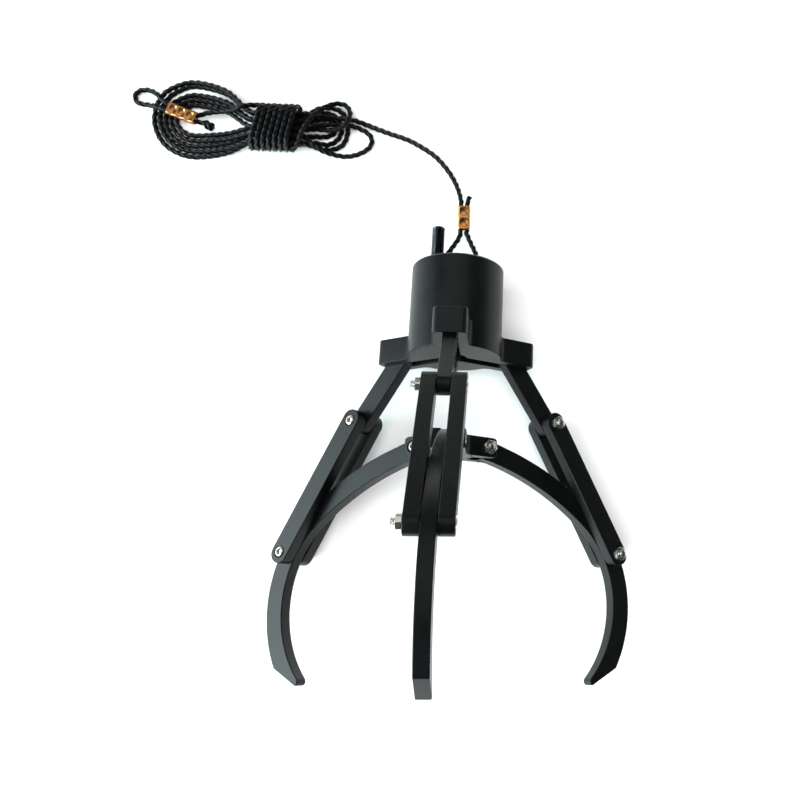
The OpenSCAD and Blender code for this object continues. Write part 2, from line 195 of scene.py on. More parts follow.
# %% Black printed plastic
def printed_black(name, low, high, rough, groove):
    """Black PLA, 3-D printed: satin, with nozzle lines from the print map, cloudy patches in its
    gloss, and a fine grain. The groove is the depth of the lines in metres."""
    made = bpy.data.materials.new(name)
    made.use_nodes = True
    tree = made.node_tree
    shader = tree.nodes["Principled BSDF"]
    place = add(tree, "ShaderNodeTexCoord").outputs["Object"]
    where = add(tree, "ShaderNodeUVMap", {"uv_map": "print"}).outputs["UV"]
    across = add(tree, "ShaderNodeSeparateXYZ", Vector=where).outputs["X"]
    cloud = add(
        tree, "ShaderNodeTexNoise", Vector=place, Scale=70.0, Detail=5.0, Roughness=0.62
    ).outputs["Fac"]
    grain = add(
        tree, "ShaderNodeTexNoise", Vector=place, Scale=2400.0, Detail=2.0, Roughness=0.5
    ).outputs["Fac"]
    drift = add(tree, "ShaderNodeMath", {"operation": "MULTIPLY_ADD"}, _0=cloud, _1=0.8, _2=across)
    phase = add(tree, "ShaderNodeMath", {"operation": "MULTIPLY"}, _0=drift.outputs[0], _1=math.tau)
    lines = add(tree, "ShaderNodeMath", {"operation": "SINE"}, _0=phase.outputs[0]).outputs[0]
    colour = add(tree, "ShaderNodeValToRGB", Fac=cloud)
    colour.color_ramp.elements[0].position = 0.3
    colour.color_ramp.elements[0].color = linear(low)
    colour.color_ramp.elements[1].position = 0.75
    colour.color_ramp.elements[1].color = linear(high)
    gloss = add(tree, "ShaderNodeMapRange", Value=cloud, To_Min=rough - 0.05, To_Max=rough + 0.08)
    fine = add(tree, "ShaderNodeMath", {"operation": "MULTIPLY_ADD"}, _0=lines, _1=0.35, _2=grain)
    bump = add(tree, "ShaderNodeBump", Strength=0.35, Distance=groove, Height=fine.outputs[0])
    tree.links.new(colour.outputs["Color"], shader.inputs["Base Color"])
    tree.links.new(gloss.outputs[0], shader.inputs["Roughness"])
    tree.links.new(bump.outputs["Normal"], shader.inputs["Normal"])
    shader.inputs["IOR"].default_value = 1.46
    shader.inputs["Specular IOR Level"].default_value = 0.2
    return made


body_black = printed_black("black_pla_body", "#08090a", "#101112", 0.35, 0.00005)
limb_black = printed_black("black_pla_limb", "#070808", "#0e0f10", 0.31, 0.00016)
print("printed finishes:", body_black.name, "and", limb_black.name)

# %% [markdown]
# The screws and nuts are zinc-plated steel, bright with a faint warm tint. The stud is blackened
# steel, the guide bush turned brass, and the two crimps are pressed copper.


# %% Metals
def metal(name, colour, rough, scratch=900.0):
    """A bare or plated metal: full metallic, with fine scratches that vary its gloss."""
    made = bpy.data.materials.new(name)
    made.use_nodes = True
    tree = made.node_tree
    shader = tree.nodes["Principled BSDF"]
    place = add(tree, "ShaderNodeTexCoord").outputs["Object"]
    marks = add(
        tree, "ShaderNodeTexNoise", Vector=place, Scale=scratch, Detail=3.0, Roughness=0.6
    ).outputs["Fac"]
    gloss = add(tree, "ShaderNodeMapRange", Value=marks, To_Min=rough - 0.08, To_Max=rough + 0.12)
    bump = add(tree, "ShaderNodeBump", Strength=0.12, Distance=0.00004, Height=marks)
    shade = add(tree, "ShaderNodeValToRGB", Fac=marks)
    base = np.array(linear(colour))
    shade.color_ramp.elements[0].position = 0.25
    shade.color_ramp.elements[0].color = (*base[:3] * 0.78, 1)
    shade.color_ramp.elements[1].position = 0.7
    shade.color_ramp.elements[1].color = (*base[:3], 1)
    tree.links.new(shade.outputs["Color"], shader.inputs["Base Color"])
    tree.links.new(gloss.outputs[0], shader.inputs["Roughness"])
    tree.links.new(bump.outputs["Normal"], shader.inputs["Normal"])
    shader.inputs["Metallic"].default_value = 1.0
    return made


zinc = metal("zinc_plated_steel", "#e3e1d8", 0.26)
black_oxide = metal("black_oxide_steel", "#4a4b4e", 0.3)
brass = metal("turned_brass", "#b8924e", 0.3)
copper = metal("pressed_copper", "#dd9a60", 0.27, 500.0)
print("metals:", *[made.name for made in (zinc, black_oxide, brass, copper)])


# %% [markdown]
# ## Twisted cord
#
# The cord is a polyester rope laid from three strands. Its section is three circles that touch,
# and the section turns once in 10 mm as it runs along, which makes the beads that the eye reads
# as rope. Fine yarns show as lines along the lay. The pattern follows the cord, so it comes from
# the cord's own map: one direction round the section and one along the length.


# %% Cord material
def cord_black():
    """Black polyester filament yarn, twisted and a little glossy, from the cord's own map."""
    made = bpy.data.materials.new("polyester_cord")
    made.use_nodes = True
    tree = made.node_tree
    shader = tree.nodes["Principled BSDF"]
    where = add(tree, "ShaderNodeUVMap", {"uv_map": "lay"}).outputs["UV"]
    yarn = add(
        tree,
        "ShaderNodeTexWave",
        {"wave_type": "BANDS", "bands_direction": "X"},
        Vector=where,
        Scale=9.0,
        Distortion=1.6,
        Detail=2.0,
    ).outputs["Fac"]
    place = add(tree, "ShaderNodeTexCoord").outputs["Object"]
    fuzz = add(
        tree, "ShaderNodeTexNoise", Vector=place, Scale=1500.0, Detail=3.0, Roughness=0.6
    ).outputs["Fac"]
    shade = add(tree, "ShaderNodeValToRGB", Fac=fuzz)
    shade.color_ramp.elements[0].position = 0.3
    shade.color_ramp.elements[0].color = linear("#030304")
    shade.color_ramp.elements[1].position = 0.75
    shade.color_ramp.elements[1].color = linear("#0a0a0b")
    both = add(tree, "ShaderNodeMath", {"operation": "MULTIPLY_ADD"}, _0=fuzz, _1=0.7, _2=yarn)
    bump = add(tree, "ShaderNodeBump", Strength=0.5, Distance=0.00012, Height=both.outputs[0])
    tree.links.new(shade.outputs["Color"], shader.inputs["Base Color"])
    tree.links.new(bump.outputs["Normal"], shader.inputs["Normal"])
    shader.inputs["Roughness"].default_value = 0.32
    shader.inputs["IOR"].default_value = 1.57
    shader.inputs["Specular IOR Level"].default_value = 0.2
    return made


polyester = cord_black()
print("cord finish:", polyester.name)


# %% [markdown]
# ## The cord's way
#
# The cord comes up out of the cap, through the crimp, along the table into the hank, round its
# five left and five right folds, seven and a half times round their middle as a tie, and through
# the end crimp into a small eye. The points are in millimetres in the CAD frame, where the ground
# is at z = 0, and one smooth curve goes through them. The left folds lie side by side and have
# one form, so a function gives their points; each right fold lies in its own way.

# %% The cord's points
LEFT_LEG = [
    [-7, 81.7, 13.4], [-7, 86.2, 12.2], [-6.6, 90.7, 10.7], [-3.8, 95.6, 8.6], [-1.3, 99.9, 6.8],
    [-0.4, 103, 6], [-0.4, 104.2, 6], [-0.4, 110.4, 6], [-0.4, 116.6, 6], [-0.4, 117.8, 6],
]
FREE_LENGTH = [
    [-1.1, 121.4, 4.8], [-2.8, 126.2, 2.6], [-5.7, 131.5, 1.4], [-8.9, 135.8, 1.4],
    [-12.9, 140.1, 1.4], [-17.9, 143.7, 1.4], [-26.8, 148.4, 1.4], [-36.8, 151.6, 1.4],
    [-46.8, 155.1, 1.4],
]
INTO_HANK = [[-50.6, 156.1, 2.8], [-54.8, 156.9, 4.1], [-61.6, 157.4, 4.3], [-69.4, 157.4, 6.4]]
RIGHT_FOLDS = [
    # the middle one, the outer one and the inner one, flat on the table
    [[-71, 145, 2.8], [-65.6, 144.8, 1.3], [-60.9, 147.6, 1.3], [-59.2, 152.4, 1.3],
     [-60.8, 157.4, 1.3], [-65.4, 160, 1.3], [-71, 159.4, 2.8]],
    [[-71, 142.6, 4.4], [-64.6, 142.2, 1.3], [-58.8, 144.8, 1.3], [-56.5, 149.8, 1.3],
     [-56.5, 155.4, 1.3], [-58.8, 160.4, 1.3], [-63.6, 162.8, 1.3], [-69.6, 161.8, 3.6],
     [-73.6, 158, 6.2]],
    [[-71.4, 148.2, 2.8], [-67, 148.6, 1.3], [-63, 150.4, 1.3], [-61.9, 154.2, 1.3],
     [-65, 157.1, 1.3], [-69.6, 156.6, 2.4]],
    # the loose one, which lies out to the right and comes back over the others
    [[-71.6, 143.4, 6.4], [-67.8, 141.2, 4.8], [-62.4, 139.8, 2.6], [-56.4, 139.4, 1.3],
     [-50.9, 140.8, 1.3], [-46.4, 143.6, 1.3], [-44.6, 147.2, 1.3], [-46.2, 150.8, 1.3],
     [-50.4, 153, 2.2], [-55, 153.8, 4], [-60.6, 154, 4.3], [-67.6, 153.2, 5.8]],
    # the last one, up over the right end and down to the first winding
    [[-70.6, 151.4, 4.6], [-64.8, 151.2, 4.6], [-59.6, 151.6, 6.2], [-55.8, 154.6, 6.9],
     [-54.6, 159.4, 5.4], [-57, 163.6, 4], [-62, 164, 5], [-67.6, 160.4, 8], [-72, 155, 10.8],
     [-75.8, 148.6, 10.9], [-78.6, 142.6, 8.8]],
]
# for each turn: y and height under the tie on its way left, y of the fold's top, x of its left
# end, y of its bottom, y and height under the tie on its way back
LEFT_FOLDS = [
    [158.2, 7.4, 172.2, -147.6, 136.6, 143.8, 4.4],
    [158.2, 4.4, 170.8, -145, 139.2, 143.8, 7.4],
    [154.6, 7.4, 166.6, -142.4, 141.8, 147.4, 4.4],
    [154.6, 4.4, 164.1, -139.8, 144.4, 147.4, 7.4],
    [151, 7.4, 161.6, -137.2, 147, 151, 4.4],
]
TIE_RIGHT, TIE_LEFT = -77, -101
SHOULDER_X, FOLD_X = -113, -127.5
SHOULDER_OUT, SHOULDER_RISE = 0.7, 0.4
BEND_AT = [90, 118, 146, 180, 214, 242, 270]
ON_TABLE, ON_CORD = 1.3, 3.4
WINDINGS, TURN_STEPS = 7.55, 16
WINDING_RIGHT, WINDING_LEFT = -79.4, -99.8
WINDING_Y, WINDING_Z = 151, 6.5
WINDING_R, WINDING_FLAT, WINDING_SLANT = 5.2, 5.2, 0.18
CRIMP_IN = [
    [-104.8, 159.8, 10], [-109.4, 158.6, 7.4], [-115, 158.2, 5.2], [-120, 157.8, 4.3],
    [-123.6, 157, 4.1],
]
EYE = [
    [-142, 162, 4.6], [-146, 165.8, 3.2], [-150.4, 168.1, 1.6], [-154.8, 167.9, 1.3],
    [-157.1, 164.9, 1.3], [-155.2, 161.8, 1.3], [-150.6, 161, 1.6], [-145.8, 159.6, 3.8],
]
END_TAIL = [[-125, 152.8, 4.2], [-122, 152, 3.6], [-119.2, 150, 3.2]]
SHORT_LEG = [
    [-7, 81.7, 13.4], [-7, 79.2, 14.1], [-5.6, 77.1, 14.6], [0, 76.7, 14.8], [5.6, 77.1, 14.6],
    [7, 79.2, 14.1], [7, 81.7, 13.4], [7, 86.2, 12.2], [7.4, 89.4, 11.2], [7.2, 93, 9.8],
    [4.6, 98.4, 7.4], [2.6, 103, 6], [2.6, 104.2, 6], [2.6, 110.4, 6], [2.6, 116.6, 6],
    [2.6, 117.8, 6], [3.6, 121, 5.6],
]


def windings():
    """Turns round a flat bundle: a point runs round a stadium, half circles of the winding
    radius joined by flats, while its x goes evenly from the right end to the left end."""
    u = np.arange(0, WINDINGS, 1 / TURN_STEPS)
    arc, flat = math.pi * WINDING_R, 2 * WINDING_FLAT
    s = (u % 1) * (2 * arc + 2 * flat) + arc / 2
    s = s % (2 * arc + 2 * flat)
    left, under = s < arc, (s >= arc) & (s < arc + flat)
    right, over = (s >= arc + flat) & (s < 2 * arc + flat), s >= 2 * arc + flat
    turn = np.select([left, right], [s / WINDING_R, (s - flat) / WINDING_R], 0)
    y = np.select(
        [left, under, right, over],
        [
            -WINDING_FLAT - WINDING_R * np.sin(turn),
            -WINDING_FLAT + (s - arc),
            WINDING_FLAT - WINDING_R * np.sin(turn),
            WINDING_FLAT - (s - 2 * arc - flat),
        ],
    )
    z = np.select(
        [left, under, right, over],
        [WINDING_R * np.cos(turn), -WINDING_R, WINDING_R * np.cos(turn), WINDING_R],
    )
    x = WINDING_RIGHT + (WINDING_LEFT - WINDING_RIGHT) * u / WINDINGS + WINDING_SLANT * y
    return np.stack([x, WINDING_Y + y, WINDING_Z + z], 1)


def shoulder(at_tie, tie_z, at_bend, bend_z):
    """The point where a strand widens from the tie to its bend: a share of the way out in y, and
    a share of the tie's height above the bend's."""
    y = at_tie + SHOULDER_OUT * (at_bend - at_tie)
    return [[SHOULDER_X, y, bend_z + SHOULDER_RISE * (tie_z - bend_z)]]


def left_fold(enter, enter_z, top, left, bottom, leave, leave_z, low):
    """A fold at the left end: half an ellipse through its top, its left end and its bottom, joined
    to the tie by a shoulder above and one below. Its top may lie on the next strand."""
    angle = np.radians(BEND_AT)
    middle, half = (top + bottom) / 2, (top - bottom) / 2
    x = FOLD_X + (FOLD_X - left) * np.cos(angle)
    z = ON_TABLE + (low - ON_TABLE) * np.clip(2 * np.sin(angle), 0, 1)
    bend = np.stack([x, middle + half * np.sin(angle), z], 1)
    return np.concatenate(
        [
            [[TIE_RIGHT, enter, enter_z], [(TIE_RIGHT + TIE_LEFT) / 2, enter, enter_z]],
            [[TIE_LEFT, enter, enter_z]],
            shoulder(enter, enter_z, top, low),
            bend,
            shoulder(leave, leave_z, bottom, ON_TABLE),
            [[TIE_LEFT, leave, leave_z], [(TIE_RIGHT + TIE_LEFT) / 2, leave, leave_z]],
            [[TIE_RIGHT, leave, leave_z]],
        ]
    )


def hank():
    """The turns one after the other: a left fold, then the right fold that leads to the next."""
    lows = [ON_CORD] + [ON_TABLE] * (len(LEFT_FOLDS) - 1)
    parts = [
        part
        for left, low, right in zip(LEFT_FOLDS, lows, RIGHT_FOLDS)
        for part in (left_fold(*left, low), right)
    ]
    return np.concatenate(parts)


def smooth(points, step, parts=12):
    """A curve through the points, resampled at even steps: between two points it is a cubic
    whose slope at each point is half the way from the point before to the point after."""
    p = np.asarray(points, float)
    p = np.concatenate([[2 * p[0] - p[1]], p, [2 * p[-1] - p[-2]]])
    a, b, c, d = p[:-3, None], p[1:-2, None], p[2:-1, None], p[3:, None]
    f = np.linspace(0, 1, parts, endpoint=False)[None, :, None]
    curve = 0.5 * (
        2 * b + (c - a) * f + (2 * a - 5 * b + 4 * c - d) * f**2 + (3 * b - 3 * c + d - a) * f**3
    )
    curve = np.concatenate([curve.reshape(-1, 3), p[-2:-1]])
    run = np.concatenate([[0], np.cumsum(np.linalg.norm(np.diff(curve, axis=0), axis=1))])
    even = np.linspace(0, run[-1], int(run[-1] / step) + 1)
    return np.stack([np.interp(even, run, curve[:, k]) for k in range(3)], 1)


crimp_low, crimp_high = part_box("end_crimp")
crimp_mid = np.array((crimp_low + crimp_high) / 2) / MM
CRIMP_TURN, CRIMP_LEN, STRAND, MOUTH = math.radians(-20), 14, 1.5, 1
crimp_along = np.array([math.cos(CRIMP_TURN), math.sin(CRIMP_TURN), 0])
crimp_across = np.array([-crimp_along[1], crimp_along[0], 0])
crimp_ends = [
    crimp_mid + side * STRAND * crimp_across + end * (CRIMP_LEN / 2 - MOUTH) * crimp_along
    for side, end in ((1, 1), (1, -1), (-1, -1), (-1, 1))
]
WAY_STEP = 0.6
way_parts = [
    LEFT_LEG, FREE_LENGTH, INTO_HANK, hank(), windings(), CRIMP_IN, crimp_ends[:2], EYE,
    crimp_ends[2:], END_TAIL,
]
main_way = smooth(np.concatenate(way_parts), WAY_STEP)
main_way[:, 2] = np.maximum(main_way[:, 2], ON_TABLE)
short_way = smooth(SHORT_LEG, WAY_STEP)


# %% [markdown]
# The section is swept along the curve. At each step the section's own two directions are
# carried on from the step before and only tipped to stay square to the curve, so the rope's
# twist is its own lay and nothing else.

# %% Sweep the cord
CORD_D = 2.6
LAY = 10.0
STRANDS = 3
VALLEY = 0.62
BEAD, BEAD_HALF = 0.8, 2.5
FIRST_SIDE = [0.3, 0.2, 1]


def carried_frames(way):
    """Two directions square to the curve at each point, carried along without turning."""
    t = np.gradient(way, axis=0)
    t /= np.linalg.norm(t, axis=1)[:, None]
    u = np.zeros_like(way)
    u[0] = np.cross(t[0], FIRST_SIDE)
    for i in range(len(way)):
        side = u[max(i - 1, 0)]
        side = side - side.dot(t[i]) * t[i]
        u[i] = side / np.linalg.norm(side)
    return t, u, np.cross(t, u)


def rope(name, way, body, bead=0.0, columns=24):
    """A laid rope along a way in millimetres. Its radius at angle a is the distance to the
    nearest of three touching circles, though the valleys between them stop at a share of the
    radius, and a is measured from a start that turns with the lay. Where the end is melted, the
    last 5 mm swell by the bead's share, as half an ellipse."""
    t, u, v = carried_frames(way)
    run = np.concatenate([[0], np.cumsum(np.linalg.norm(np.diff(way, axis=0), axis=1))])
    around = np.arange(columns) / columns * 2 * math.pi
    small = CORD_D / 2 / (1 + 2 / math.sqrt(3))
    off = CORD_D / 2 - small
    half = math.pi / STRANDS
    lobe = (around + half) % (2 * half) - half
    radius = off * np.cos(lobe) + np.sqrt(np.maximum(small**2 - (off * np.sin(lobe)) ** 2, 0))
    radius = np.maximum(radius, VALLEY * CORD_D / 2)
    swell = 1 + bead * np.sqrt(np.clip(1 - ((run[-1] - run) / BEAD_HALF - 1) ** 2, 0, 1))
    radius = swell[:, None] * radius
    angle = around[None, :] + (run / LAY * 2 * math.pi)[:, None]
    points = (
        way[:, None]
        + (radius * np.cos(angle))[..., None] * u[:, None]
        + (radius * np.sin(angle))[..., None] * v[:, None]
    )
    rows = len(way)
    faces = grid_faces(rows, columns)
    corners = np.concatenate([points.reshape(-1, 3), [way[0], way[-1]]]) * MM
    j, k = np.arange(columns), (np.arange(columns) + 1) % columns
    last = (rows - 1) * columns
    caps = np.concatenate(
        [
            np.stack([k, j, np.full(columns, rows * columns)], 1),
            np.stack([last + j, last + k, np.full(columns, rows * columns + 1)], 1),
        ]
    )
    mesh = bpy.data.meshes.new(name)
    mesh.from_pydata(corners.tolist(), [], faces.tolist() + caps.tolist())
    mesh.polygons.foreach_set("use_smooth", np.ones(len(mesh.polygons), bool))
    corner = np.empty(len(mesh.loops), np.int32)
    mesh.loops.foreach_get("vertex_index", corner)
    on_tube = corner < rows * columns
    across = np.where(on_tube, corner % columns / columns, 0.5)
    along = np.where(on_tube, run[np.minimum(corner // columns, rows - 1)] / LAY, 0)
    # the quad that closes a ring goes on to 1, not back to 0
    wrap = np.zeros(len(corner))
    tube = len(faces) * 4
    quad = across[:tube].reshape(-1, 4)
    wrap[:tube] = ((quad == 0) & (quad.max(1) > 0.5)[:, None]).reshape(-1)
    lay = mesh.uv_layers.new(name="lay")
    lay.data.foreach_set("uv", np.stack([across + wrap, along], 1).ravel())
    mesh.update()
    made = bpy.data.objects.new(name, mesh)
    bpy.context.scene.collection.objects.link(made)
    mesh.materials.append(polyester)
    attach(made, body)
    return made


lifting_cord = rope("lifting_cord", main_way, "body", BEAD)
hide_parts("cord_free", "cord_hank")
cord_end = rope("cord_short_end", short_way, "body")
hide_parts("cord_loop")
print("cord corners:", len(lifting_cord.data.vertices), "and", len(cord_end.data.vertices))

# %% [markdown]
# ## The printed pieces' edges
#
# A printed edge is never a knife edge: the nozzle rounds it, and it catches a thin line of
# light. Each printed CAD solid is copied, its triangles are merged into flat faces, and every
# sharp edge is bevelled by 0.4 mm. The copy also gets the print map: on a face that looks up or
# down the printer, the map counts slanted nozzle passes, and on a wall it counts layers. A real
# pass is 0.4 mm wide and a real layer 0.2 mm high; both are drawn wider to show.

# %% Bevel and map the printed solids
PASS_W, LAYER_H = 0.7, 0.5
ACROSS_UP, LOOKS_UP = [0.2, 1, 0.3], 0.7
MERGE, FLAT_TURN = 2e-6, math.radians(0.6)


def map_print(mesh, up):
    """A map whose first direction counts lines: passes along the diagonal of a face square to
    the printer's up direction, and layers along up everywhere else."""
    up = np.asarray(up, float)
    side = np.cross(up, ACROSS_UP)
    side /= np.linalg.norm(side)
    diagonal = (side - np.cross(up, side)) / math.sqrt(2)
    corner = np.empty(len(mesh.loops), np.int32)
    mesh.loops.foreach_get("vertex_index", corner)
    place = np.empty(len(mesh.vertices) * 3)
    mesh.vertices.foreach_get("co", place)
    place = place.reshape(-1, 3)[corner] / MM
    normal = np.empty(len(mesh.polygons) * 3)
    mesh.polygons.foreach_get("normal", normal)
    sides = np.empty(len(mesh.polygons), np.int32)
    mesh.polygons.foreach_get("loop_total", sides)
    flat = np.repeat(np.abs(normal.reshape(-1, 3) @ up) > LOOKS_UP, sides)
    count = np.where(flat, place @ diagonal / PASS_W, place @ up / LAYER_H)
    around = mesh.uv_layers.new(name="print")
    around.data.foreach_set("uv", np.stack([count, np.zeros(len(count))], 1).ravel())


def softened(node, body, material, up, width=0.4, angle=28):
    """A copy of a CAD solid with its sharp edges bevelled by a width in millimetres."""
    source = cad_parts[node]
    made = bpy.data.objects.new(node + "_print", source.data.copy())
    bpy.context.scene.collection.objects.link(made)
    mesh = made.data
    shape = bmesh.new()
    shape.from_mesh(mesh)
    bmesh.ops.remove_doubles(shape, verts=shape.verts, dist=MERGE)
    bmesh.ops.dissolve_limit(shape, angle_limit=FLAT_TURN, verts=shape.verts, edges=shape.edges)
    shape.to_mesh(mesh)
    shape.free()
    if "custom_normal" in mesh.attributes:
        mesh.attributes.remove(mesh.attributes["custom_normal"])
    map_print(mesh, up)
    mesh.materials.clear()
    mesh.materials.append(material)
    mesh.polygons.foreach_set("use_smooth", np.ones(len(mesh.polygons), bool))
    bevel = made.modifiers.new("edge", "BEVEL")
    bevel.width = width * MM
    bevel.segments = 2
    bevel.limit_method = "ANGLE"
    bevel.angle_limit = math.radians(angle)
    bevel.use_clamp_overlap = False
    flatten = made.modifiers.new("flat_faces", "WEIGHTED_NORMAL")
    flatten.mode = "FACE_AREA"
    flatten.weight = 100
    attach(made, body)
    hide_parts(node)
    return made


ORIGIN = np.zeros(3)
axis_up = laid([0, 0, 1]) - laid(ORIGIN)
limb_up = {k: on_limb(k, [0, 1, 0]) - on_limb(k, ORIGIN) for k in (1, 2, 3)}
printed = [
    softened("body_shell", "body", body_black, axis_up),
    softened("top_cap", "body", body_black, axis_up),
    softened("hub", "hub", limb_black, axis_up),
]
for k in (1, 2, 3):
    printed += [
        softened(f"arm_{k}", "body", limb_black, limb_up[k]),
        softened(f"claw_{k}", f"claw_{k}", limb_black, limb_up[k]),
        softened(f"link_{k}_plate_a", f"link_{k}", limb_black, limb_up[k]),
        softened(f"link_{k}_plate_b", f"link_{k}", limb_black, limb_up[k]),
    ]
print("printed pieces:", len(printed))

# %% [markdown]
# ## Threads, screws and nuts
#
# A thread is a ridge that climbs one pitch in each turn. Cut straight across, it is a saw of
# triangles, so the surface's radius is the core plus a triangle wave of height over pitch, minus
# the angle as a share of a turn. The screws are M3 with a pitch of 0.5 mm, and the stud is M6 with
# a pitch of 1 mm.

# %% Turned and threaded pieces
AROUND = np.arange(36) / 36 * math.tau
THREAD_DEPTH = 0.6


def hexagon(flats, turn=0.0):
    """Radius of a hexagon of a width across its flats, at every angle: half the width over the
    cosine of the angle from the nearest flat's middle."""
    sixth = math.tau / 6
    return flats / 2 / np.cos((AROUND - turn) % sixth - sixth / 2)


def rings(radius, height):
    """Rings about the local z axis: a radius for each row and angle, a height for each row."""
    radius = np.broadcast_to(radius, (len(height), len(AROUND)))
    height = np.broadcast_to(np.asarray(height, float)[:, None], radius.shape)
    return np.stack([radius * np.cos(AROUND), radius * np.sin(AROUND), height], -1)


def threaded(radius, low, high, pitch, steps=6):
    """Rings of a thread between two heights: the radius less a triangle wave as deep as a share
    of the pitch, which fades out over the last pitch at either end."""
    depth = THREAD_DEPTH * pitch
    z = np.linspace(low, high, int((high - low) / pitch * steps) + 1)
    wave = (z[:, None] / pitch - AROUND / math.tau) % 1
    fade = np.clip(np.minimum(z - low, high - z) / pitch, 0, 1)[:, None]
    return rings(radius - depth * fade * np.abs(2 * wave - 1), z)


def across(grid, at, offset):
    """A local grid put across a limb's plane: its axis points along the offset."""
    x, y, z = np.moveaxis(grid, -1, 0)
    return np.stack([at[0] + x, offset + z, at[1] - y], -1)


SCREW_R, HEAD_R, HEAD_H, SOCKET, SOCKET_H = 1.5, 2.35, 2.5, 2.5, 1.3
M3_PITCH, THREAD_LEN, THREAD_IN, POINT = 0.5, 6, 0.25, 0.45
EDGE_OUT, EDGE_DOWN, TIP_R, TIP_H = 0.1, 0.12, 0.35, 0.2
HEAD_RIM = ((0, 1), (0.12, 0.5), (0.4, 0.17), (0.8, 0))


def socket_screw(end, seat):
    """A cap screw from its threaded end to the top of its head: thread, plain shank, head with a
    rim rounded in steps inwards and down from its top, and the hexagon socket to its floor."""
    top = seat + HEAD_H
    thread_to = min(end + THREAD_LEN, seat - 1)
    socket = hexagon(SOCKET)
    return np.concatenate(
        [
            rings(SCREW_R - POINT, [end]),
            threaded(SCREW_R, end + THREAD_IN, thread_to, M3_PITCH),
            rings(SCREW_R, [seat]),
            rings(HEAD_R, [seat]),
            *[rings(HEAD_R - inwards, [top - down]) for inwards, down in HEAD_RIM],
            rings(socket + EDGE_OUT, [top]),
            rings(socket, [top - EDGE_DOWN, top - SOCKET_H]),
            rings(TIP_R, [top - SOCKET_H - TIP_H]),
        ]
    )


NUT_AF, NUT_H, COUNTERSINK = 5.5, 2.4, 0.3
RING_SHARE, CONE = 0.475, 0.5


def nut(flats, height, bore, turn=0.0):
    """A hexagon nut: a cone cuts its corners at top and bottom, so the rim drops by a share of its
    distance from a ring just inside the flats, and the bore is countersunk."""
    side = hexagon(flats, turn)
    ring = RING_SHARE * flats
    drop = CONE * (side - ring)
    grid = [
        rings(side, [0]), rings(side, [height]), rings(ring, [height]),
        rings(bore + COUNTERSINK, [height]), rings(bore, [height - COUNTERSINK]),
        rings(bore, [COUNTERSINK]), rings(bore + COUNTERSINK, [0]), rings(ring, [0]),
    ]
    grid[0][..., 2] += drop
    grid[1][..., 2] -= drop
    return np.concatenate(grid)


print("a nut is", NUT_AF, "mm across its flats and", NUT_H, "mm high")


# %% [markdown]
# Each pivot is a cap screw whose head sits in a round recess of one plate, with its nut on the
# other side. The links' pivots are at the fixed arm and at the elbow, and the hub has one for each
# claw.

# %% Screws and nuts of the pivots
ARM_PIVOT, ELBOW, HUB_PIVOT = (49.5, 0), (84, -57.5), (15, -14.8)
LINK_HALF, LINK_SEAT, LINK_END = 9.05, 7.05, -13.35
EAR_HALF, EAR_SEAT, EAR_END = 7.45, 5.05, -10.95
link_nut = nut(NUT_AF, NUT_H, SCREW_R, math.radians(15))
ear_nut = nut(NUT_AF, NUT_H, SCREW_R, math.radians(10))
link_screw = socket_screw(LINK_END, LINK_SEAT)
ear_screw = socket_screw(EAR_END, EAR_SEAT)
for k in (1, 2, 3):
    screws = [on_limb(k, across(link_screw, at, 0)) for at in (ARM_PIVOT, ELBOW)]
    nuts = [on_limb(k, across(link_nut, at, -LINK_HALF - NUT_H)) for at in (ARM_PIVOT, ELBOW)]
    mesh_piece(f"link_{k}_cap_screws", skin(screws), f"link_{k}", zinc, f"link_{k}_screws")
    mesh_piece(f"link_{k}_hex_nuts", skin(nuts, True), f"link_{k}", zinc, f"link_{k}_nuts")
screws = [on_limb(k, across(ear_screw, HUB_PIVOT, 0)) for k in (1, 2, 3)]
nuts = [on_limb(k, across(ear_nut, HUB_PIVOT, -EAR_HALF - NUT_H)) for k in (1, 2, 3)]
mesh_piece("hub_cap_screws", skin(screws), "hub", zinc, "hub_screws")
mesh_piece("hub_hex_nuts", skin(nuts, True), "hub", zinc, "hub_nuts")
print("link screws under the head, mm:", LINK_SEAT - LINK_END, "hub screws:", EAR_SEAT - EAR_END)

# %% [markdown]
# The pull rod slides through the bush in the body and carries the hub between two nuts, with a
# third nut as its stop. It is smooth where it slides and threaded where its nuts are.

# %% Pull rod and its nuts
ROD_LOW, ROD_TOP = -22.3, 41.5
HUB_LOW, HUB_TOP, STOP_TOP = -19.1, -10.5, 38.4
ABOVE_HUB, BELOW_STOP = 5, 2
rod = np.concatenate(
    [
        rings(SCREW_R - POINT, [ROD_LOW]),
        threaded(SCREW_R, ROD_LOW + THREAD_IN, HUB_TOP + ABOVE_HUB, M3_PITCH),
        threaded(SCREW_R, STOP_TOP - BELOW_STOP, ROD_TOP - THREAD_IN, M3_PITCH),
        rings(SCREW_R - POINT, [ROD_TOP]),
    ]
)
mesh_piece("threaded_pull_rod", skin([laid(rod)]), "hub", zinc, "pull_rod")
rod_nut = nut(NUT_AF, NUT_H, SCREW_R)
nuts = [laid(rod_nut + [0, 0, z]) for z in (HUB_LOW - NUT_H, HUB_TOP, STOP_TOP)]
mesh_piece("rod_hex_nuts", skin(nuts, True), "hub", zinc, "rod_nuts")
print("pull rod, mm:", ROD_TOP - ROD_LOW)

# %% [markdown]
# The stud is a length of blackened M6 rod, held by a nut inside the cap. A smooth run-out of the
# thread shows just above the cap.

